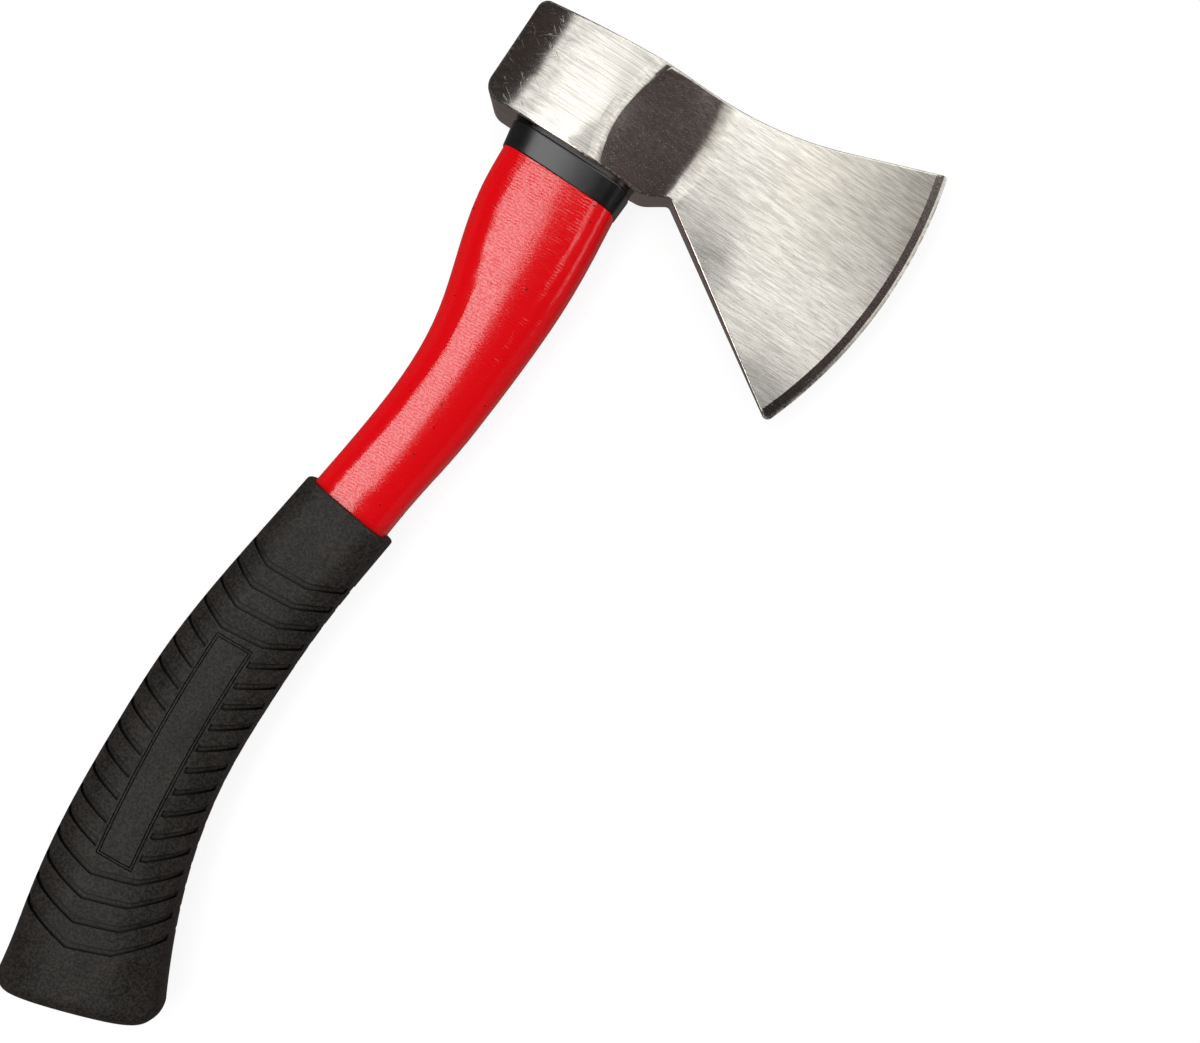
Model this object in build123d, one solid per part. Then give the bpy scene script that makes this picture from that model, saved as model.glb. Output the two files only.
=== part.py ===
from build123d import *
from math import cos, pi, radians, sin, sqrt, tan
import os

# A hatchet lying on its side: forged head, fibreglass handle potted into the eye with epoxy,
# black collar under the head, moulded rubber grip. Millimetres.
# X runs from the poll to the cutting edge, Y up the eye, Z through the thickness.
# The model is drawn about the middle of the eye and moved to its resting place at the end.

# ---- head: outline seen from the side ----
POLL_X = -33.4              # middle of the striking face
POLL_LEAN = 3.6             # degrees, the face leans towards the blade at the top
POLL_CORNER = 3.5
POLL_HEEL = 6.0             # lower corner of the poll
HEAD_UNDER = 4.5            # underside of the eye
HEAD_UNDER_SLOPE = -2.2     # degrees
HEAD_HEIGHT = 38.4          # underside to crown, over the eye
CROWN_SLOPE = 1.3           # degrees
TOE_SLOPE = 18.0            # degrees, top of the blade
TOE_BREAK_X = 58.5          # where crown and toe lines would meet
TOE_SWEEP = 130.0           # radius that blends them
THROAT_X = 34.5
THROAT_RISE = 3.2           # throat above the underside
THROAT_START_X = 26.5
THROAT_SWEEP = 9.0
THROAT_ROUND = 2.0
BEARD_ANGLE = -36.4         # degrees
EDGE_RADIUS = 160.0         # curve of the cutting edge
EDGE_CENTRE = (-47.5, 28.5)
TOE_ROUND = 1.5
HEEL_ROUND = 2.0

# ---- head: thickness seen from above ----
CHEEK_HALF = 15.0           # half thickness over the eye
CHEEK_BULGE = 145.0         # radius of the bulged cheeks
SHOULDER_SWEEP = 20.0       # radius where the cheek turns into the neck
HOLLOW_SWEEP = 50.0         # radius where the neck meets the blade
BLADE_TAPER = 4.4           # degrees, half angle of the blade
GRIND_ANGLE = 9.0           # degrees, half angle of the ground band
GRIND_WIDTH = 2.6
HONE_ANGLE = 24.0           # degrees, half angle of the honed edge
HONE_WIDTH = 1.2
EDGE_LAND = 0.05            # half width of the honed edge itself
RIM_ROUND = 0.6

# Plan of the head at a few heights: height on Y, thickest point of the cheek, where the cheek
# turns into the neck, and where the neck meets the blade, all three on X.
NECK_STATIONS = [
    (-45.0, -5.0, 7.0, 33.0),
    (8.0, -4.0, 7.0, 34.0),
    (24.0, -1.0, 6.0, 37.0),
    (40.0, 0.0, 11.0, 35.0),
    (65.0, 0.0, 15.0, 33.0),
]

# ---- eye, tenon, resin, collar ----
EYE_LENGTH = 41.0
EYE_WIDTH = 20.0
EYE_FLARE = 1.2             # each side, wider at the crown
EYE_X = 0.5
TENON_GAP = 0.9             # resin between tenon and eye
TENON_SHORT = 4.5           # tenon end below the crown
EYE_SECTION = 2.3           # exponent of the eye's oval
RESIN_SINK = 0.8            # resin below the crown
COLLAR_DEPTH = 8.7
COLLAR_TOP = 3.4
COLLAR_TILT = -3.2          # degrees
COLLAR_PROUD = 1.2          # past the shaft
COLLAR_TAPER = 6.0          # degrees, narrower towards the handle
COLLAR_ROUND = 0.7
BEAD_INSET = 0.5            # resin bead inside the collar's outline

# ---- handle and grip ----
MOUTH_Y = -130.8            # grip's mouth on the centre line
MOUTH_TILT = -10.6          # degrees
BUTT_Y = -314.4             # grip's butt at x = 0
BUTT_TILT = 15.2            # degrees
BUTT_WALL = 6.0
BUTT_ROUND = 5.5
GRIP_WALL = 2.5
GRIP_FIRST = 6              # the grip starts its loft at this station
MOUTH_ROUND = 1.0
GATE_RADIUS = 1.6
GATE_HEIGHT = 0.9
GATE_PITCH = 4.6
GATE_X = -4.0               # first of the two stubs

# Shaft under the grip too: height on Y, middle on X, half width, half thickness, and the
# exponent that makes the oval section squarer.
STATIONS = [
    (16.0, 0.4, 20.4, 12.0, 4.4),
    (-4.0, 0.3, 21.0, 12.0, 4.4),
    (-20.0, 0.8, 21.2, 11.9, 4.4),
    (-40.0, 2.5, 19.5, 11.6, 3.9),
    (-60.0, 3.8, 16.7, 11.2, 3.4),
    (-80.0, 3.0, 15.1, 11.0, 3.5),
    (-100.0, 0.3, 14.6, 11.0, 3.8),
    (-120.0, -3.6, 14.2, 11.0, 4.1),
    (-140.0, -7.2, 14.6, 11.0, 4.0),
    (-170.0, -12.6, 15.4, 11.0, 3.3),
    (-200.0, -15.9, 16.5, 11.0, 3.0),
    (-230.0, -16.7, 17.0, 11.2, 3.0),
    (-260.0, -14.4, 19.2, 11.6, 3.0),
    (-290.0, -8.2, 22.6, 12.2, 3.0),
    (-310.0, -2.2, 25.6, 12.4, 3.0),
    (-340.0, 6.0, 30.0, 12.5, 3.0),
]

# ---- channels moulded into both faces of the grip ----
CHANNEL_WIDTH = 2.3
CHANNEL_DEPTH = 0.7         # the panel's frame is as deep
CHANNEL_COUNT = 18
FULL_ROWS = 4               # unbroken chevrons above the panel, and as many below
FIRST_ROW_Y = -158.1
LEFT_PITCH = 8.02
RIGHT_PITCH = 7.75
LEFT_RISE = (28.0, 13.0)    # degrees, first row and last row
RIGHT_RISE = (20.0, 40.0)
LEFT_GUIDE = ((-17.5, -158.1), (-21.9, -218.3), (-12.6, -294.2))
RIGHT_GUIDE = ((-2.9, -158.1), (-6.8, -218.3), (1.5, -289.6))
PARTING_HALF = 3.75         # plain strip along both sides
PANEL_TOP = -186.1
PANEL_BOTTOM = -263.4
PANEL_WIDTH = 10.6
PANEL_GUIDE = ((-14.3, -186.1), (-15.2, -218.3), (-12.8, -263.4))
PANEL_GROOVE = 0.4          # width of each of the two fine grooves that frame the panel
PANEL_BEAD = 0.45           # ridge left between them
PANEL_MARGIN = 0.7          # channels stop short of the panel's frame
REACH = 40.0                # cutting shapes run this far past the body


def slope(angle):
    """Unit vector in XY at this angle from X."""
    return Vector(cos(radians(angle)), sin(radians(angle)))


def rise(angle):
    return tan(radians(angle))


def along(guide, y):
    """X of a smooth guide through three points, at height y."""
    total = 0.0
    for index, (x_here, y_here) in enumerate(guide):
        weight = 1.0
        for other, (_, y_other) in enumerate(guide):
            if other != index:
                weight *= (y - y_other) / (y_here - y_other)
        total += weight * x_here
    return total


def oval(x, y, half_width, half_thick, exponent, count=16):
    """Rounded section across Y: one smooth closed curve through points of a superellipse."""
    points = []
    for index in range(count):
        turn = 2 * pi * (index + 0.5) / count
        across = abs(cos(turn)) ** (2 / exponent) * (1 if cos(turn) >= 0 else -1)
        through = abs(sin(turn)) ** (2 / exponent) * (1 if sin(turn) >= 0 else -1)
        points.append((x + half_width * across, y, half_thick * through))
    return make_face(Spline(*points, periodic=True))


def round_corner(face, point, radius):
    return fillet(face.vertices().sort_by_distance(point)[0], radius)


def tilted_plane(x, y, tilt):
    """Plane square to XY through (x, y), its trace at this slope, facing up the handle."""
    return Plane(origin=(x, y, 0), x_dir=slope(tilt), z_dir=slope(tilt + 90))


def with_mirror_image(upper):
    """A piece from its upper half: both halves of the mould are alike."""
    return upper + mirror(upper, about=Plane.XY)


def upper_half(body):
    return split(body, bisect_by=Plane.XY, keep=Keep.TOP)


# ---- head ----
def meet_edge(start, angle):
    """Where a line from start at this slope crosses the cutting edge's circle."""
    way = slope(angle)
    reach = start - Vector(*EDGE_CENTRE)
    along_way = reach.dot(way)
    return start + way * (sqrt(along_way ** 2 - reach.dot(reach) + EDGE_RADIUS ** 2) - along_way)


def poll_corner(height, angle):
    """Where the striking face's line meets the line through (0, height) at this slope."""
    middle = HEAD_UNDER + HEAD_HEIGHT / 2
    lean = rise(POLL_LEAN)
    y = (height + rise(angle) * (POLL_X - middle * lean)) / (1 - rise(angle) * lean)
    return Vector(POLL_X + (y - middle) * lean, y)


def head_outline():
    crown = HEAD_UNDER + HEAD_HEIGHT
    poll_low = poll_corner(HEAD_UNDER, HEAD_UNDER_SLOPE)
    poll_high = poll_corner(crown, CROWN_SLOPE)
    throat_start = Vector(THROAT_START_X, HEAD_UNDER + THROAT_START_X * rise(HEAD_UNDER_SLOPE))
    throat = Vector(THROAT_X, HEAD_UNDER + THROAT_RISE)
    toe_break = Vector(TOE_BREAK_X, crown + TOE_BREAK_X * rise(CROWN_SLOPE))
    toe = meet_edge(toe_break, TOE_SLOPE)
    heel = meet_edge(throat, BEARD_ANGLE)
    edge_middle = Vector(EDGE_CENTRE[0] + EDGE_RADIUS, EDGE_CENTRE[1])
    sides = Polyline(toe, toe_break, poll_high, poll_low, throat_start, throat, heel)
    face = make_face([*sides.edges(), ThreePointArc(heel, edge_middle, toe)])
    face = round_corner(face, poll_high, POLL_CORNER)
    face = round_corner(face, poll_low, POLL_HEEL)
    face = round_corner(face, toe_break, TOE_SWEEP)
    face = round_corner(face, throat_start, THROAT_SWEEP)
    face = round_corner(face, throat, THROAT_ROUND)
    face = round_corner(face, heel, HEEL_ROUND)
    return round_corner(face, toe, TOE_ROUND)


def edge_x(y):
    """X of the cutting edge at this height."""
    return EDGE_CENTRE[0] + sqrt(EDGE_RADIUS ** 2 - (y - EDGE_CENTRE[1]) ** 2)


def bevel_root():
    """Half thickness where the ground band starts, and how far that is from the edge."""
    height = EDGE_LAND + HONE_WIDTH * rise(HONE_ANGLE) + GRIND_WIDTH * rise(GRIND_ANGLE)
    return height, HONE_WIDTH + GRIND_WIDTH


def head_plan(y, cheek_x, turn_x, neck_x):
    """Half of the head's plan at height y: bulged cheek, neck, straight taper to the bevel."""
    def cheek(x):
        return CHEEK_HALF - CHEEK_BULGE + sqrt(CHEEK_BULGE ** 2 - (x - cheek_x) ** 2)

    root_z, root_depth = bevel_root()
    root_x = edge_x(y) - root_depth
    first_x = POLL_X - CHEEK_HALF
    last_x = EDGE_CENTRE[0] + EDGE_RADIUS + CHEEK_HALF
    middle_x = (first_x + turn_x) / 2
    neck = Vector(neck_x, root_z + (root_x - neck_x) * rise(BLADE_TAPER))
    turn = Vector(turn_x, cheek(turn_x))
    end = Vector(last_x, neck.Y - (last_x - neck_x) * rise(BLADE_TAPER))
    bulge = ThreePointArc((first_x, cheek(first_x)), (middle_x, cheek(middle_x)), turn)
    rest = Polyline(turn, neck, end, (last_x, -CHEEK_HALF), (first_x, -CHEEK_HALF), bulge @ 0)
    face = make_face([bulge, *rest.edges()])
    face = round_corner(face, turn, SHOULDER_SWEEP)
    face = round_corner(face, neck, HOLLOW_SWEEP)
    return Plane(origin=(0, y, 0), x_dir=(1, 0, 0), z_dir=(0, -1, 0)) * face


def bevels():
    """Body of revolution about the edge's centre that grinds and hones both sides of the edge."""
    root_z, root_depth = bevel_root()
    hone_z = EDGE_LAND + HONE_WIDTH * rise(HONE_ANGLE)
    centre_z = root_z + (EDGE_RADIUS - root_depth) * rise(GRIND_ANGLE)
    upper = [(0, centre_z), (EDGE_RADIUS - HONE_WIDTH, hone_z), (EDGE_RADIUS, EDGE_LAND)]
    upper.append((EDGE_RADIUS + HONE_WIDTH, EDGE_LAND))
    lower = [(r, -z) for r, z in reversed(upper)]
    profile = make_face(Polyline(*upper, *lower, close=True))
    return Pos(*EDGE_CENTRE) * revolve(Plane.XZ * profile, Axis.Z)


def make_eye():
    """Solid that fills the eye, wider at the crown."""
    low = HEAD_UNDER - COLLAR_DEPTH
    high = HEAD_UNDER + HEAD_HEIGHT + COLLAR_DEPTH
    flare = EYE_FLARE * (high - low) / HEAD_HEIGHT
    sections = [
        oval(EYE_X, low, EYE_LENGTH / 2, EYE_WIDTH / 2, EYE_SECTION),
        oval(EYE_X, high, EYE_LENGTH / 2 + flare, EYE_WIDTH / 2 + flare, EYE_SECTION),
    ]
    return loft(sections)


def is_rim(edge):
    """True for edges between cheek and wall, apart from the cutting edge, which is ground."""
    middle = edge @ 0.5
    reach = Vector(middle.X, middle.Y) - Vector(*EDGE_CENTRE)
    level = abs((edge @ 0).Z - (edge @ 1).Z) < CHEEK_HALF / 2
    return level and reach.length < EDGE_RADIUS - EDGE_LAND and abs(middle.Z) > EDGE_LAND


def make_head():
    upper = loft([head_plan(*row) for row in NECK_STATIONS])
    blank = extrude(head_outline(), REACH, both=True) & upper & mirror(upper, about=Plane.XY)
    walls = blank.faces().filter_by(lambda face: abs(face.normal_at().Z) < 0.01)
    blank = fillet(walls.edges().filter_by(is_rim), RIM_ROUND)
    return (blank & bevels()) - make_eye()


# ---- handle ----
def shaft_body(grow, first=0):
    """Loft down the handle's stations, grown evenly by a wall."""
    sections = []
    for y, x, half_width, half_thick, exponent in STATIONS[first:]:
        sections.append(oval(x, y, half_width + grow, half_thick + grow, exponent))
    return loft(sections)


def collar_plane(drop):
    return tilted_plane(EYE_X, COLLAR_TOP - drop, COLLAR_TILT)


def butt_plane(wall):
    plane = tilted_plane(0, BUTT_Y, BUTT_TILT)
    return plane.offset(wall)


def make_tenon():
    half_length = EYE_LENGTH / 2 - TENON_GAP
    half_width = EYE_WIDTH / 2 - TENON_GAP
    section = oval(EYE_X, -2 * COLLAR_DEPTH, half_length, half_width, EYE_SECTION)
    height = HEAD_UNDER + HEAD_HEIGHT - TENON_SHORT + 2 * COLLAR_DEPTH
    return extrude(section, height, dir=(0, 1, 0))


def make_handle():
    shaft = split(shaft_body(0), bisect_by=collar_plane(COLLAR_DEPTH), keep=Keep.BOTTOM)
    shaft = split(shaft, bisect_by=butt_plane(BUTT_WALL), keep=Keep.TOP)
    return with_mirror_image(upper_half(shaft + make_tenon()))


def collar_outline(y, inset):
    """The collar's outside at this height, narrower further down the handle."""
    _, x, half_width, half_thick, exponent = next(row for row in STATIONS if row[0] < 0)
    grow = COLLAR_PROUD - inset - (COLLAR_TOP - y) * rise(COLLAR_TAPER)
    return oval(x, y, half_width + grow, half_thick + grow, exponent)


def make_collar(handle):
    ring = loft([collar_outline(y, 0) for y in (2 * COLLAR_DEPTH, -2 * COLLAR_DEPTH)])
    ring = split(ring, bisect_by=collar_plane(0), keep=Keep.BOTTOM)
    ring = split(ring, bisect_by=collar_plane(COLLAR_DEPTH), keep=Keep.TOP)
    ring = fillet(ring.edges().filter_by(lambda edge: edge.length > EYE_LENGTH), COLLAR_ROUND)
    return ring - handle


def make_resin(handle):
    """Fills the eye round and over the tenon, and stands out as a bead between collar and head."""
    under = tilted_plane(0, HEAD_UNDER, HEAD_UNDER_SLOPE)
    bead = extrude(collar_outline(COLLAR_TOP, BEAD_INSET), COLLAR_DEPTH, dir=(0, 1, 0), both=True)
    bead = split(bead, bisect_by=under, keep=Keep.BOTTOM)
    top = tilted_plane(EYE_X, HEAD_UNDER + HEAD_HEIGHT - RESIN_SINK, CROWN_SLOPE)
    fill = split(make_eye(), bisect_by=top, keep=Keep.BOTTOM)
    resin = split(bead + fill, bisect_by=collar_plane(0), keep=Keep.TOP)
    return resin - handle


# ---- grip ----
def channel(row):
    """One chevron channel as a flat strip that runs past both sides of the grip."""
    share = row / (CHANNEL_COUNT - 1)
    left_y = FIRST_ROW_Y - LEFT_PITCH * row
    right_y = FIRST_ROW_Y - RIGHT_PITCH * row
    left_rise = LEFT_RISE[1] + (LEFT_RISE[0] - LEFT_RISE[1]) * (1 - share) ** 2
    right_rise = RIGHT_RISE[0] + (RIGHT_RISE[1] - RIGHT_RISE[0]) * share
    left = Vector(along(LEFT_GUIDE, left_y), left_y)
    right = Vector(along(RIGHT_GUIDE, right_y), right_y)
    line = [
        left + Vector(-REACH, REACH * rise(left_rise)),
        left,
        right,
        right + Vector(REACH, REACH * rise(right_rise)),
    ]
    half = Vector(0, CHANNEL_WIDTH / 2)
    upper = [point + half for point in line]
    lower = [point - half for point in reversed(line)]
    return make_face(Polyline(*upper, *lower, close=True))


def panel_outline(grow):
    half = PANEL_WIDTH / 2 + grow
    heights = (PANEL_TOP + grow, (PANEL_TOP + PANEL_BOTTOM) / 2, PANEL_BOTTOM - grow)
    left = [Vector(along(PANEL_GUIDE, y) - half, y) for y in heights]
    right = [Vector(along(PANEL_GUIDE, y) + half, y) for y in reversed(heights)]
    lower = Line(left[2], right[0])
    upper = Line(right[2], left[0])
    return make_face([ThreePointArc(*left), lower, ThreePointArc(*right), upper])


def channel_pattern():
    """All chevrons. Those between the first and last full rows stop at the panel."""
    beside_panel = range(FULL_ROWS, CHANNEL_COUNT - FULL_ROWS)
    full = [channel(row) for row in range(CHANNEL_COUNT) if row not in beside_panel]
    keep_clear = panel_outline(2 * PANEL_GROOVE + PANEL_BEAD + PANEL_MARGIN)
    return Sketch() + full + [channel(row) - keep_clear for row in beside_panel]


def panel_frame():
    """Two fine grooves round the panel with a ridge between them."""
    outer = PANEL_GROOVE + PANEL_BEAD
    inner_groove = panel_outline(PANEL_GROOVE) - panel_outline(0)
    return inner_groove + (panel_outline(outer + PANEL_GROOVE) - panel_outline(outer))


def carving():
    """Cutting shapes for the channels and the panel's frame on the upper face, down to the floor."""
    floor = shaft_body(GRIP_WALL - CHANNEL_DEPTH, GRIP_FIRST)
    pattern = channel_pattern() + panel_frame()
    prisms = extrude(Pos(0, 0, PARTING_HALF) * pattern, REACH)
    return [prism - floor for prism in prisms.solids()]


def make_gates():
    """Stubs left on the butt where the rubber was injected."""
    stub = Cone(GATE_RADIUS * 0.75, GATE_RADIUS, GATE_HEIGHT, align=(Align.CENTER, Align.CENTER, Align.MAX))
    places = [GATE_X, GATE_X + GATE_PITCH]
    return [tilted_plane(x, BUTT_Y + x * rise(BUTT_TILT), BUTT_TILT) * stub for x in places]


def make_grip(handle):
    mouth_x = along([(row[1], row[0]) for row in STATIONS[GRIP_FIRST:GRIP_FIRST + 3]], MOUTH_Y)
    body = shaft_body(GRIP_WALL, GRIP_FIRST)
    body = split(body, bisect_by=tilted_plane(mouth_x, MOUTH_Y, MOUTH_TILT), keep=Keep.BOTTOM)
    body = split(body, bisect_by=butt_plane(0), keep=Keep.TOP)
    body = fillet(body.edges().sort_by(Axis.Y)[0], BUTT_ROUND)
    body = fillet(body.edges().sort_by(Axis.Y)[-1], MOUTH_ROUND)
    body = body + make_gates() - handle
    return with_mirror_image(upper_half(body) - carving())


# ---- assembly ----
def build():
    head = make_head()
    handle = make_handle()
    pieces = {
        "axe_head": head,
        "fibreglass_handle": handle,
        "eye_epoxy": make_resin(handle),
        "collar": make_collar(handle),
        "grip": make_grip(handle),
    }
    box = Compound(list(pieces.values())).bounding_box()
    rest = Pos(-box.center().X, -box.center().Y, -box.min.Z)
    return {name: rest * piece for name, piece in pieces.items()}


os.makedirs("parts", exist_ok=True)
for name, piece in build().items():
    export_step(piece, f"parts/{name}.step")
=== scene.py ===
# %% [markdown]
# # A hatchet with a forged head, a fibreglass handle and a rubber grip
#
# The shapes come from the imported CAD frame: five solids that already fit each other. Blender's work
# here is the finish of every surface, plus the table top, the lights and the camera. Each step
# below says what the real piece is, how its look could be made, and why one way was chosen.

# %% Load the frame
import math

import bpy
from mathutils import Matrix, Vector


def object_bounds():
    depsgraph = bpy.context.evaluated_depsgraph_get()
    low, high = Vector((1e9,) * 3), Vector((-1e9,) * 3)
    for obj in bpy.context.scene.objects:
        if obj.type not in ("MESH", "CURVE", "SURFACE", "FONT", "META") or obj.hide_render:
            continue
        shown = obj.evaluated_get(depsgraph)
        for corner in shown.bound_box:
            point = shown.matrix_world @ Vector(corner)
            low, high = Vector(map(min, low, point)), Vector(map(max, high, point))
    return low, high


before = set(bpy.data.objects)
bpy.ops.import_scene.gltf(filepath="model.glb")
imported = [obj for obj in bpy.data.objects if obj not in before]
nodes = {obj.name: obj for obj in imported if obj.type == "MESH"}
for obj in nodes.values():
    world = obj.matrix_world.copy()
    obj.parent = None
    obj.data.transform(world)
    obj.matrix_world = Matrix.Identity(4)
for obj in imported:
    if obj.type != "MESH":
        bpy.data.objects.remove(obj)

cad_low, cad_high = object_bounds()
MM = 0.001

# %% [markdown]
# ## Colours and nodes
#
# Colours are easiest to read as the hex values of a paint chart, but a renderer adds light in
# linear numbers, so one function turns the first into the second. Every material here is a small
# network of nodes. A single function adds any node: it sets its properties, fills its inputs and
# draws the links, so a material reads from top to bottom like a recipe.

# %% From a hex value to linear light
def linear(hex_value):
    """sRGB hex to the linear colour that a shader wants."""
    channels = [int(hex_value[start:start + 2], 16) / 255 for start in (1, 3, 5)]
    light = [c / 12.92 if c <= 0.04045 else ((c + 0.055) / 1.055) ** 2.4 for c in channels]
    return light + [1.0]


WHITE = linear("#FFFFFF")
print("middle grey in linear light:", round(linear("#808080")[0], 3))

# %% One function adds any node
def add_node(tree, kind, *values, **named):
    """Adds a node and wires it up.

    Plain values fill its inputs in order. Names with a capital are inputs too, the others are
    settings. A value is a number, a colour, a socket, or a node, which means its first output.
    """
    node = tree.nodes.new("ShaderNode" + kind)
    for name, value in named.items():
        if name.islower():
            setattr(node, name, value)
    inputs = [socket for socket in node.inputs if socket.enabled]
    by_name = {socket.name.replace(" ", "_"): socket for socket in reversed(inputs)}
    wires = list(zip(inputs, values))
    wires += [(by_name[name], value) for name, value in named.items() if not name.islower()]
    for socket, value in wires:
        if isinstance(value, bpy.types.Node):
            value = next(output for output in value.outputs if output.enabled)
        if isinstance(value, bpy.types.NodeSocket):
            tree.links.new(value, socket)
        else:
            socket.default_value = value
    return node


def new_material(name):
    """An empty material and its node tree."""
    material = bpy.data.materials.new(name)
    material.use_nodes = True
    material.node_tree.nodes.clear()
    return material, material.node_tree


def dress(node_name, material):
    """Gives a CAD node a better material. Its mesh stays as it is."""
    for slot in nodes[node_name].material_slots:
        slot.material = material
    print(node_name, "is now", material.name, "with", len(material.node_tree.nodes), "shader nodes")


# %% [markdown]
# ## Patterns that several finishes share
#
# Most surface marks are noise, cut or stretched. `clouds` is noise of a given size in millimetres,
# and a different size along each axis stretches it into streaks. `patches` keeps a range of it.
# `hairlines` keeps only the thin contour lines of a stretched noise, which look like the stray
# scratches that a tool picks up in a drawer. `layered_relief` stacks bumps of given depths.

# %% Clouds, patches, hairlines and relief
MIDDLE = 0.5                # noise swings about this value


def clouds(tree, place, size, detail=3.0, roughness=0.55, turn=0.0):
    """Noise whose features measure size (x, y, z) in millimetres, turned about Z in degrees."""
    spun = add_node(tree, "Mapping", Vector=place, Rotation=(0, 0, math.radians(turn)))
    per_feature = tuple(1 / (length * MM) for length in size)
    scaled = add_node(tree, "Mapping", Vector=spun, Scale=per_feature)
    return add_node(tree, "TexNoise", Vector=scaled, Scale=1.0, Detail=detail, Roughness=roughness)


def patches(tree, place, size, start, end, share=1.0, **look):
    """Clouds cut to a range: 0 where they are at start, share where they are at end."""
    return add_node(tree, "MapRange", clouds(tree, place, size, **look), start, end, 0.0, share)


def hairlines(tree, place, length, spacing, width, turn, cover, fade=0.08):
    """Thin lines along one direction. cover is how much of the surface may carry them."""
    long_and_thin = (length, spacing, spacing)
    contours = clouds(tree, place, long_and_thin, detail=1.0, turn=turn)
    offset = add_node(tree, "Math", contours, MIDDLE, operation="SUBTRACT")
    distance = add_node(tree, "Math", offset, operation="ABSOLUTE")
    line = add_node(tree, "MapRange", distance, width, 0.0)
    where = patches(tree, place, (length / 4, spacing, spacing), 1 - cover, 1 - cover + fade,
                    detail=1.0, turn=turn)
    return add_node(tree, "Math", line, where, operation="MULTIPLY")


def layered_relief(tree, heights, depths):
    """Stacks bumps, each a height whose full range stands its depth in millimetres proud."""
    under = {}
    for layer, height in heights.items():
        bump = add_node(tree, "Bump", Height=height, Strength=1.0, Distance=depths[layer] * MM,
                        **under)
        under = {"Normal": bump}
    return bump


print("a 0.5 mm grain asks for a noise scale of", 1 / (0.5 * MM), "in metres")

# %% [markdown]
# ## The head: forged carbon steel, ground and brushed
#
# The head is drop forged, then ground on a belt that runs from poll to edge. The belt leaves fine
# parallel scratches, so light spreads across them and stays sharp along them. An anisotropic metal
# gives that spread, and noise stretched along the belt's path gives the scratches themselves. A
# real ground face is never flat: a slow waviness bends the reflections. Oil and handling leave
# clouds and specks, blows leave stray scratches on the poll, and the edges are knocked rough.

# %% The steel's numbers, lengths in millimetres
BELT_SCRATCHES = (45.0, 0.6, 0.6)   # a belt's lie 0.2 apart, drawn coarser so that they show
BELT_PASSES = (45.0, 3.2, 3.2)
BELT_LEAN = 3.0             # degrees, the belt ran slightly off square
OIL_CLOUDS = (14.0, 9.0, 9.0)
OIL_SPECKS = (0.8, 0.5, 0.5)
METAL_GRAIN = (0.3, 0.22, 0.22)
RUST_PITS = (0.45, 0.3, 0.3)
SLOW_WAVES = (26.0, 18.0, 18.0)
KNOCKS = (3.5, 3.5, 3.5)
KNOCKED_EDGE = 1.3          # how far from an edge the knocks reach
POLL_SIDE = -60.0           # the poll is struck on this side of it, so scratches gather there
STRUCK_FADE = 12.0
STEEL_DEPTHS = {"waves": 0.10, "belt": 0.004, "grain": 0.0012, "scratches": -0.006}
BRIGHT_ROUGHNESS = 0.14     # of the clean ground face, and of what is scratched, pitted or knocked
DULL_ROUGHNESS = 0.5

# %% Stray scratches and knocked edges
def stray_scratches(tree, place):
    """Scratches across the belt's, thick on the poll and rare elsewhere."""
    steep = hairlines(tree, place, length=60, spacing=1.7, width=0.02, turn=38, cover=0.46)
    shallow = hairlines(tree, place, length=50, spacing=1.5, width=0.02, turn=-24, cover=0.46)
    both = add_node(tree, "Math", steep, shallow, operation="MAXIMUM")
    along = add_node(tree, "SeparateXYZ", place).outputs["X"]
    struck = add_node(tree, "MapRange", along, POLL_SIDE * MM, (POLL_SIDE + STRUCK_FADE) * MM,
                      1.0, 0.12)
    return add_node(tree, "Math", both, struck, operation="MULTIPLY")


def knocked_edges(tree, place):
    """1 where an outside edge has been knocked about, 0 on the faces."""
    rounded = add_node(tree, "Bevel", samples=6, Radius=KNOCKED_EDGE * MM)
    true = add_node(tree, "NewGeometry").outputs["Normal"]
    same = add_node(tree, "VectorMath", rounded, true, operation="DOT_PRODUCT")
    # The two normals part by 6 degrees where an edge begins to show, and by 18 right on it.
    edge = add_node(tree, "MapRange", same, 0.995, 0.95)
    knocks = patches(tree, place, KNOCKS, 0.44, 0.56, detail=4.0, roughness=0.7)
    return add_node(tree, "Math", edge, knocks, operation="MULTIPLY")


# %% Tones of the ground face
def steel_tones(tree, place, belt, edges):
    """Grey that follows the belt, then oil specks, then the paler bare metal of knocked edges."""
    scratches = add_node(tree, "MapRange", belt, 0.38, 0.62, 0.0, 0.68)
    passes = patches(tree, place, BELT_PASSES, 0.35, 0.65, share=0.14, detail=2.0, roughness=0.5,
                     turn=BELT_LEAN)
    oil = patches(tree, place, OIL_CLOUDS, 0.35, 0.65, share=0.18)
    tone = add_node(tree, "Math", scratches, passes, operation="ADD")
    tone = add_node(tree, "Math", tone, oil, operation="ADD")
    ground = add_node(tree, "Mix", tone, linear("#94918B"), linear("#C0BDB6"), data_type="RGBA")
    specks = patches(tree, place, OIL_SPECKS, 0.27, 0.22, share=0.7, detail=2.0)
    oiled = add_node(tree, "Mix", specks, ground, linear("#5A524C"), data_type="RGBA")
    return add_node(tree, "Mix", edges, oiled, linear("#D8CDBF"), data_type="RGBA")


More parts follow.
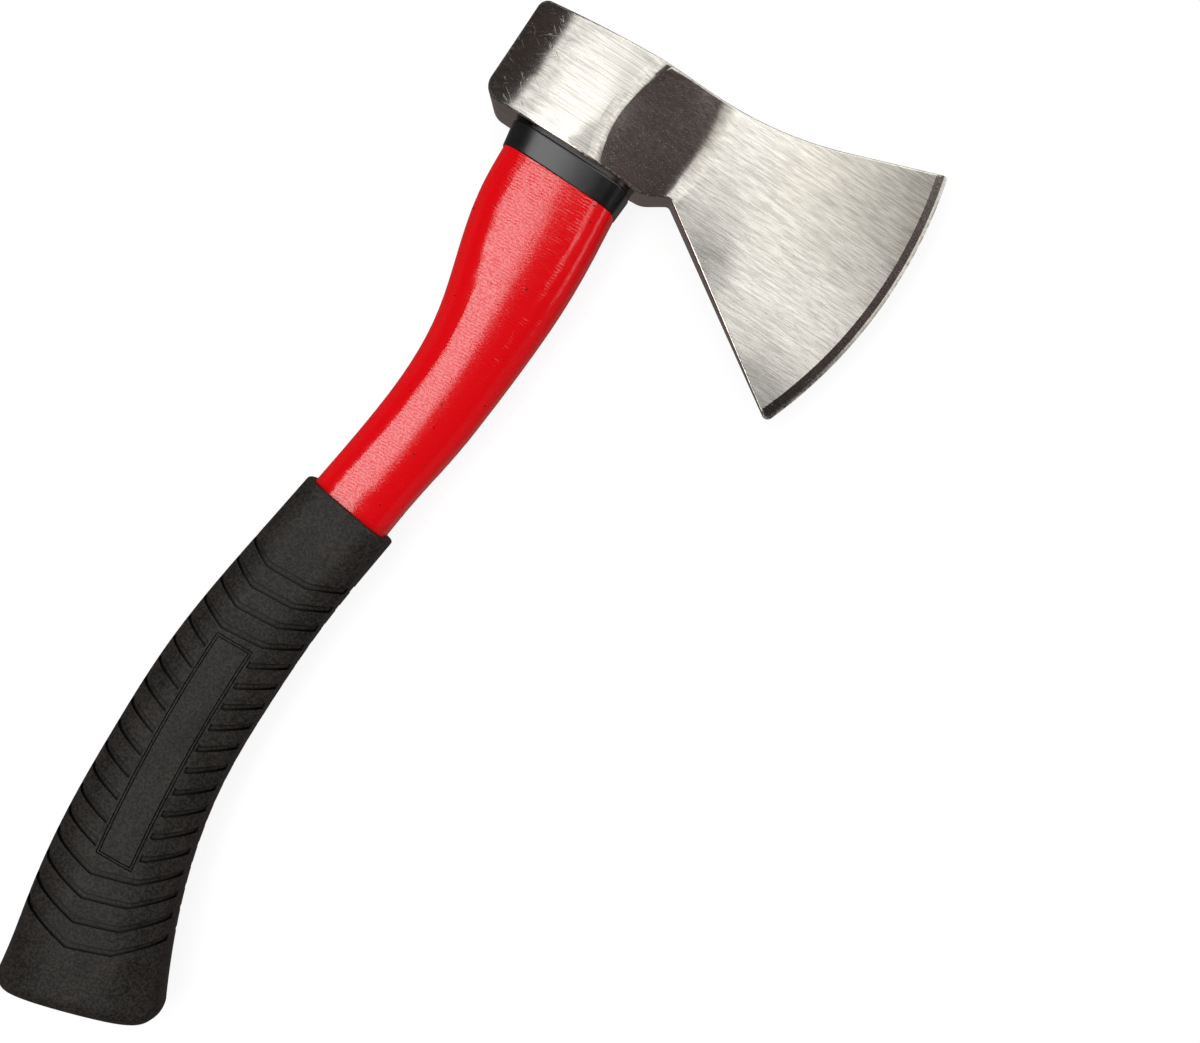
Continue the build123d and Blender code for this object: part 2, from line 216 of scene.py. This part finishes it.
# %% Forged ground steel
def forged_steel():
    """Bright and streaked along the belt, dull in pits and scratches, pale at knocked edges."""
    material, tree = new_material("forged ground steel")
    place = add_node(tree, "TexCoord").outputs["Object"]
    belt = clouds(tree, place, BELT_SCRATCHES, roughness=0.65, turn=BELT_LEAN)
    waves = clouds(tree, place, SLOW_WAVES, detail=1.0)
    grain = clouds(tree, place, METAL_GRAIN, detail=2.0, roughness=0.6)
    scratches = stray_scratches(tree, place)
    pits = patches(tree, place, RUST_PITS, 0.7, 0.76, detail=1.0)
    edges = knocked_edges(tree, place)
    dull = add_node(tree, "Math", scratches, pits, operation="MAXIMUM")
    dull = add_node(tree, "Math", dull, edges, operation="MAXIMUM")
    roughness = add_node(tree, "MapRange", dull, 0.0, 1.0, BRIGHT_ROUGHNESS, DULL_ROUGHNESS)
    layers = {"waves": waves, "belt": belt, "grain": grain, "scratches": scratches}
    normal = layered_relief(tree, layers, STEEL_DEPTHS)
    across = add_node(tree, "CombineXYZ", Y=1.0)
    shader = add_node(tree, "BsdfPrincipled", Base_Color=steel_tones(tree, place, belt, edges),
                      Metallic=1.0, Roughness=roughness, Anisotropic=0.88, Tangent=across,
                      Normal=normal)
    add_node(tree, "OutputMaterial", Surface=shader)
    return material


dress("axe_head", forged_steel())

# %% [markdown]
# ## The handle: glass fibre in red pigmented resin
#
# The rod is wrapped in a woven veil, pressed in a heated mould and cured. The gloss shows the weave
# of the veil as tiny ridges across the handle, and a few pinholes where air was trapped. A clear
# coat over a saturated base gives the depth of pigmented resin. A slow ripple under the coat breaks
# the edge of each highlight, and the coat thins out between the threads.

# %% Pigmented fibreglass
WEAVE_PITCH = 1.05          # mm; a veil's threads lie 0.5 apart, drawn coarser so that they show
WEAVE_WANDER = 9.0          # radians that a row of threads strays from its straight line
WANDER_SIZE = (2.4, 6.0, 2.4)
THREADS = (0.9, 0.6, 0.9)
WEAVE_SHARE = 0.2           # what the rows add to the single threads
VEIL_PATCHES = (3.5, 1.6, 3.5)
RIPPLE = (5.0, 14.0, 5.0)
PINHOLES = (1.3, 1.3, 1.3)
RESIN_DEPTHS = {"ripple": 0.02, "weave": 0.01, "pinholes": -0.08}
THIN_COAT = 0.42            # between the threads
FULL_COAT = 0.86
COAT_IOR = 1.66             # cured resin has 1.56; the pressed skin is a little glossier


def pigmented_fibreglass():
    """Deep red under a gloss that carries the weave."""
    material, tree = new_material("pigmented fibreglass")
    place = add_node(tree, "TexCoord").outputs["Object"]
    along = add_node(tree, "SeparateXYZ", place).outputs["Y"]
    stray = clouds(tree, place, WANDER_SIZE)
    stray = add_node(tree, "Math", stray, WEAVE_WANDER, operation="MULTIPLY")
    rows = add_node(tree, "Math", along, 2 * math.pi / (WEAVE_PITCH * MM), stray,
                    operation="MULTIPLY_ADD")
    weft = add_node(tree, "Math", rows, operation="SINE")
    raised = patches(tree, place, VEIL_PATCHES, 0.4, 0.62, detail=2.0)
    weave = add_node(tree, "Math", weft, raised, operation="MULTIPLY")
    threads = clouds(tree, place, THREADS, detail=1.0)
    threads = add_node(tree, "Math", weave, WEAVE_SHARE, threads, operation="MULTIPLY_ADD")
    coat = add_node(tree, "MapRange", threads, 0.36, 0.62, THIN_COAT, FULL_COAT)
    pinholes = patches(tree, place, PINHOLES, 0.165, 0.145, detail=0.0)
    colour = add_node(tree, "Mix", pinholes, linear("#D2000A"), linear("#3A0204"), data_type="RGBA")
    ripple = clouds(tree, place, RIPPLE, detail=2.0)
    layers = {"ripple": ripple, "weave": weave, "pinholes": pinholes}
    normal = layered_relief(tree, layers, RESIN_DEPTHS)
    shader = add_node(tree, "BsdfPrincipled", Base_Color=colour, Roughness=0.5,
                      Specular_IOR_Level=0.0, Coat_Weight=coat, Coat_Roughness=0.12,
                      Coat_IOR=COAT_IOR, Normal=normal, Coat_Normal=normal)
    add_node(tree, "OutputMaterial", Surface=shader)
    return material


dress("fibreglass_handle", pigmented_fibreglass())

# %% [markdown]
# ## Grip, collar and eye: moulded rubber and cured resin
#
# The grip is moulded rubber, matt with a fine grain, and dust settles on its open faces. An occlusion
# term paints shade into the colour at the foot of every wall, so the feet of the channels and every
# inside corner are painted dark. The collar comes from a polished mould and shines softly. The resin
# in the eye was poured and cured in the open, so it is dark, wet looking and lumpy. One recipe serves
# all three, with its own numbers.

# %% Rubber and resin
GRAIN = (0.9, 0.9, 0.9)     # mm; a mould's grain is 0.3, drawn coarser so that it shows
SMEARS = (9.0, 14.0, 9.0)
DUST_IN_GRAIN = 0.55
DUST_IN_SMEARS = 0.22
# painted shade: within this reach of a wall the colour is darkened towards #060505
PAINTED_SHADE_REACH = 0.95         # mm from a wall within which its foot stays dark


def rubber_or_resin(name, clean, dusty, roughness, gloss, grain_depth):
    """Painted shade at the feet of walls, dust in grains and smears on open faces."""
    material, tree = new_material(name)
    place = add_node(tree, "TexCoord").outputs["Object"]
    grain = clouds(tree, place, GRAIN, detail=4.0, roughness=0.75)
    grains = add_node(tree, "MapRange", grain, 0.42, 0.58, 0.0, DUST_IN_GRAIN)
    smears = patches(tree, place, SMEARS, 0.35, 0.7, share=DUST_IN_SMEARS, roughness=0.6)
    dust = add_node(tree, "Math", smears, grains, operation="ADD")
    face = add_node(tree, "Mix", dust, linear(clean), linear(dusty), data_type="RGBA")
    # painted shade: occlusion darkens the colour to #060505 at the foot of every wall and in every
    # inside corner
    painted_shade_occlusion = add_node(tree, "AmbientOcclusion", samples=8, Distance=PAINTED_SHADE_REACH * MM)
    clear_of_painted_shade = add_node(tree, "MapRange", painted_shade_occlusion.outputs["AO"], 0.78, 0.95)
    colour = add_node(tree, "Mix", clear_of_painted_shade, linear("#060505"), face, data_type="RGBA")
    shader = add_node(tree, "BsdfPrincipled", Base_Color=colour, Roughness=roughness,
                      Specular_IOR_Level=gloss, IOR=1.5,
                      Normal=layered_relief(tree, {"grain": grain}, {"grain": grain_depth}))
    add_node(tree, "OutputMaterial", Surface=shader)
    return material


dress("grip", rubber_or_resin("moulded grip rubber", "#0D0B0A", "#38332E", roughness=0.5,
                              gloss=0.22, grain_depth=0.05))
dress("collar", rubber_or_resin("moulded collar rubber", "#0E0E0E", "#1B1B1B", roughness=0.24,
                                gloss=0.5, grain_depth=0.004))
dress("eye_epoxy", rubber_or_resin("cured epoxy resin", "#1C0F0D", "#2A1614", roughness=0.22,
                                   gloss=0.5, grain_depth=0.05))

# %% [markdown]
# ## The table top
#
# The part lies on a table painted white, which gives the eye an even, pale ground. The camera sees
# a floor that glows white, with a small share of real shading left in it, so that a soft contact
# shadow stays. Glossy surfaces mirror a darker floor, which keeps the lower flanks of the forging
# and of the handle in their own tone. The price is that steel looks darker seen from the side.

# %% Floor
FLOOR_HALF = 3.0            # m
FLOOR_GLOW = 1.04
SHADOW_SHARE = 0.15         # how much of the floor's own shading the camera sees
MIRRORED_FLOOR = "#6A6260"  # the floor as a glossy surface sees it, in the object's own shade


def painted_table():
    """White and matt."""
    material, tree = new_material("white table top")
    path = add_node(tree, "LightPath").outputs
    paint = add_node(tree, "BsdfDiffuse", Color=linear("#F8F8F8"))
    mirrored = add_node(tree, "Emission", Color=linear(MIRRORED_FLOOR), Strength=1.0)
    real = add_node(tree, "MixShader", path["Is Glossy Ray"], paint, mirrored)
    glow = add_node(tree, "Emission", Color=WHITE, Strength=FLOOR_GLOW)
    seen = add_node(tree, "Math", path["Is Camera Ray"], 1 - SHADOW_SHARE, operation="MULTIPLY")
    shader = add_node(tree, "MixShader", seen, real, glow)
    add_node(tree, "OutputMaterial", Surface=shader)
    return material


def flat_plate(name, low, high, height, material):
    """A level rectangle from corner low to corner high, which isn't part of the object."""
    mesh = bpy.data.meshes.new(name)
    corners = [(low[0], low[1]), (high[0], low[1]), (high[0], high[1]), (low[0], high[1])]
    mesh.from_pydata([(x, y, height) for x, y in corners], [], [(0, 1, 2, 3)])
    mesh.materials.append(material)
    plate = bpy.data.objects.new(name, mesh)
    bpy.context.collection.objects.link(plate)
    return plate


flat_plate("floor", (-FLOOR_HALF, -FLOOR_HALF), (FLOOR_HALF, FLOOR_HALF), 0.0, painted_table())
print("the floor is", 2 * FLOOR_HALF, "m square")

# %% [markdown]
# ## Lamps as a product photographer sets them
#
# Polished steel shows its surroundings and little else, so its look is made by what hangs over the
# table. Each lamp is a flat box that faces down, and its two edges in X decide where a band starts
# and ends on the metal. The cheek mirrors the key, the steep flank of the neck mirrors the dim card
# beyond the lamps, and the blade mirrors the side lamp.

# %% Lamps
LAMP_HEIGHT = 800 * MM
LAMP_REACH = 650 * MM
BLADE_START = 170 * MM      # lamps beyond this line are mirrored by the blade's lower corner
HEAD_START = 281 * MM       # beyond this one by the collar and the head
TOP_START = 325 * MM        # and beyond this one by the upper half of the head
HANDLE_KEY = (-335 * MM, -125 * MM)
HEAD_KEY = (-455 * MM, -15 * MM)
SIDE_START = 132 * MM
SIDE_END = 268 * MM
FEATHER = (130 * MM, 305 * MM)
HANDLE_LIGHT = 5.4          # radiance, in W per square metre and steradian
KEY_LIGHT = 1.95
SIDE_LIGHT = 2.25


def soft_box(name, low, high, radiance):
    """A flat lamp that faces straight down, from corner low to corner high."""
    data = bpy.data.lights.new(name, "AREA")
    data.shape = "RECTANGLE"
    data.size, data.size_y = high[0] - low[0], high[1] - low[1]
    data.energy = radiance * math.pi * data.size * data.size_y
    lamp = bpy.data.objects.new(name, data)
    bpy.context.collection.objects.link(lamp)
    lamp.location = ((low[0] + high[0]) / 2, (low[1] + high[1]) / 2, LAMP_HEIGHT)
    lamp.visible_camera = False
    print(f"{name}: {data.size:.3f} x {data.size_y:.3f} m, {data.energy:.2f} W")


soft_box("handle key", (HANDLE_KEY[0], -LAMP_REACH), (HANDLE_KEY[1], HEAD_START), HANDLE_LIGHT)
soft_box("head key", (HEAD_KEY[0], HEAD_START), (HEAD_KEY[1], LAMP_REACH), KEY_LIGHT)
soft_box("head side", (HEAD_KEY[1], HEAD_START), (FEATHER[0], LAMP_REACH), SIDE_LIGHT)
soft_box("blade side", (SIDE_START, BLADE_START), (SIDE_END, TOP_START), SIDE_LIGHT)

# %% [markdown]
# ## Cards between and beyond the lamps
#
# A card only fills a reflection, so it is hidden from the camera and from matt surfaces. The one
# beside the head's lamps fades from their light to the dim card's, which softens the border
# between the neck and the blade. Dim cards are a warm grey, the tone that oiled steel takes on.

# %% Cards
CARD_END = 760 * MM
RIM_EDGES = (900 * MM, 1700 * MM)   # the honed bevel mirrors this far to the side
WARM_WHITE = "#FFFDF8"
WARM_GREY = "#FFE0E0"
NEAR_WARM_GREY = "#FFE6E4"
DIM_LIGHT = 0.135
LEFT_LIGHT = 0.085
RIM_LIGHT = 1.5
BACK_LIGHT = 2.4
TINT_START = 0.75           # the tint comes in over the last quarter of a fade


def card_paper(name, near, far, fade):
    """Paper that glows. Along X it goes from near to far, each a hex colour and its light."""
    material, tree = new_material(name)
    place = add_node(tree, "TexCoord").outputs["Object"]
    along = add_node(tree, "SeparateXYZ", place).outputs["X"]
    share = add_node(tree, "MapRange", along, fade[0], fade[1])
    tint = add_node(tree, "MapRange", share, TINT_START, 1.0)
    colour = add_node(tree, "Mix", tint, linear(near[0]), linear(far[0]), data_type="RGBA")
    light = add_node(tree, "MapRange", share, 0.0, 1.0, near[1], far[1])
    shader = add_node(tree, "Emission", Color=colour, Strength=light)
    add_node(tree, "OutputMaterial", Surface=shader)
    return material


def hang_card(name, low, high, near, far=None, fade=(0.0, 1.0)):
    """A card at lamp height from corner low to corner high, seen in reflections only."""
    paper = card_paper(name + " paper", near, far or near, fade)
    card = flat_plate(name, low, high, LAMP_HEIGHT, paper)
    card.visible_camera = False
    card.visible_diffuse = False
    card.visible_shadow = False
    card.visible_transmission = False
    print(f"{name}: from {[round(c, 3) for c in low]} to {[round(c, 3) for c in high]} m")


hang_card("feather card", (FEATHER[0], TOP_START), (CARD_END, LAMP_REACH),
          near=(WARM_WHITE, SIDE_LIGHT), far=(WARM_GREY, DIM_LIGHT), fade=FEATHER)
hang_card("dim card", (SIDE_END, BLADE_START), (CARD_END, TOP_START), near=(WARM_GREY, DIM_LIGHT))
hang_card("left card", (-FLOOR_HALF, HEAD_START), (HEAD_KEY[0], LAMP_REACH),
          near=(NEAR_WARM_GREY, LEFT_LIGHT))
hang_card("rim card", (RIM_EDGES[0], BLADE_START), (RIM_EDGES[1], FLOOR_HALF),
          near=("#FFFFFF", RIM_LIGHT))
hang_card("back card", (HEAD_KEY[0], LAMP_REACH), (CARD_END, FLOOR_HALF),
          near=("#FFFFFF", BACK_LIGHT))

# %% [markdown]
# ## The room
#
# Pale walls fill the shadows of matt surfaces, and the camera sees them white. Glossy surfaces see
# a dark ceiling and a grey horizon, which gives the red resin its deep colour beside the highlight.

# %% Room
WALL_LIGHT = 0.62           # what pale walls send to matt surfaces
CEILING_SHADE = 0.03        # what a glossy surface sees above the lamps
HORIZON_SHADE = 0.16        # and around the table
HORIZON_TOP = 0.45          # heights are the upward part of a direction, 1 straight up
CEILING_EDGE = 0.75


def make_room():
    """A world that answers matt, glossy and camera rays each in its own way."""
    room = bpy.data.worlds.new("studio")
    room.use_nodes = True
    tree = room.node_tree
    tree.nodes.clear()
    path = add_node(tree, "LightPath").outputs
    direction = add_node(tree, "TexCoord").outputs["Generated"]
    height = add_node(tree, "SeparateXYZ", direction).outputs["Z"]
    glossy = add_node(tree, "MapRange", height, HORIZON_TOP, CEILING_EDGE, HORIZON_SHADE,
                      CEILING_SHADE)
    matt = add_node(tree, "Math", path["Is Diffuse Ray"], WALL_LIGHT, operation="MULTIPLY")
    strength = add_node(tree, "Math", glossy, matt, operation="MAXIMUM")
    strength = add_node(tree, "Math", strength, path["Is Camera Ray"], operation="MAXIMUM")
    add_node(tree, "OutputWorld", Surface=add_node(tree, "Background", WHITE, strength))
    bpy.context.scene.world = room
    print("room:", len(tree.nodes), "shader nodes")


make_room()

# %% [markdown]
# ## The camera
#
# It looks straight down from close by, turned 30 degrees about the vertical. The short distance
# shows a little of the inner flanks: the poll's lower side, the throat and the butt. The Standard
# view shows each colour as it was written.

# %% Camera
CAMERA_HEIGHT = 470 * MM    # above the part's middle plane
CAMERA_TURN = math.radians(30)
VIEW_WIDTH = 392.4 * MM     # what the frame spans at the middle plane
AIM = (29.07 * MM, 36.52 * MM)
SENSOR = 36.0

middle_z = (cad_low[2] + cad_high[2]) / 2
camera_data = bpy.data.cameras.new("camera over the table")
camera_data.sensor_fit = "HORIZONTAL"
camera_data.sensor_width = SENSOR
camera_data.lens = SENSOR * CAMERA_HEIGHT / VIEW_WIDTH
camera_data.clip_start = 10 * MM
camera = bpy.data.objects.new("camera over the table", camera_data)
bpy.context.collection.objects.link(camera)
camera.location = (AIM[0], AIM[1], middle_z + CAMERA_HEIGHT)
camera.rotation_euler = (0, 0, CAMERA_TURN)
bpy.context.scene.camera = camera
bpy.context.scene.view_settings.view_transform = "Standard"
print("lens in mm:", round(camera_data.lens, 2))
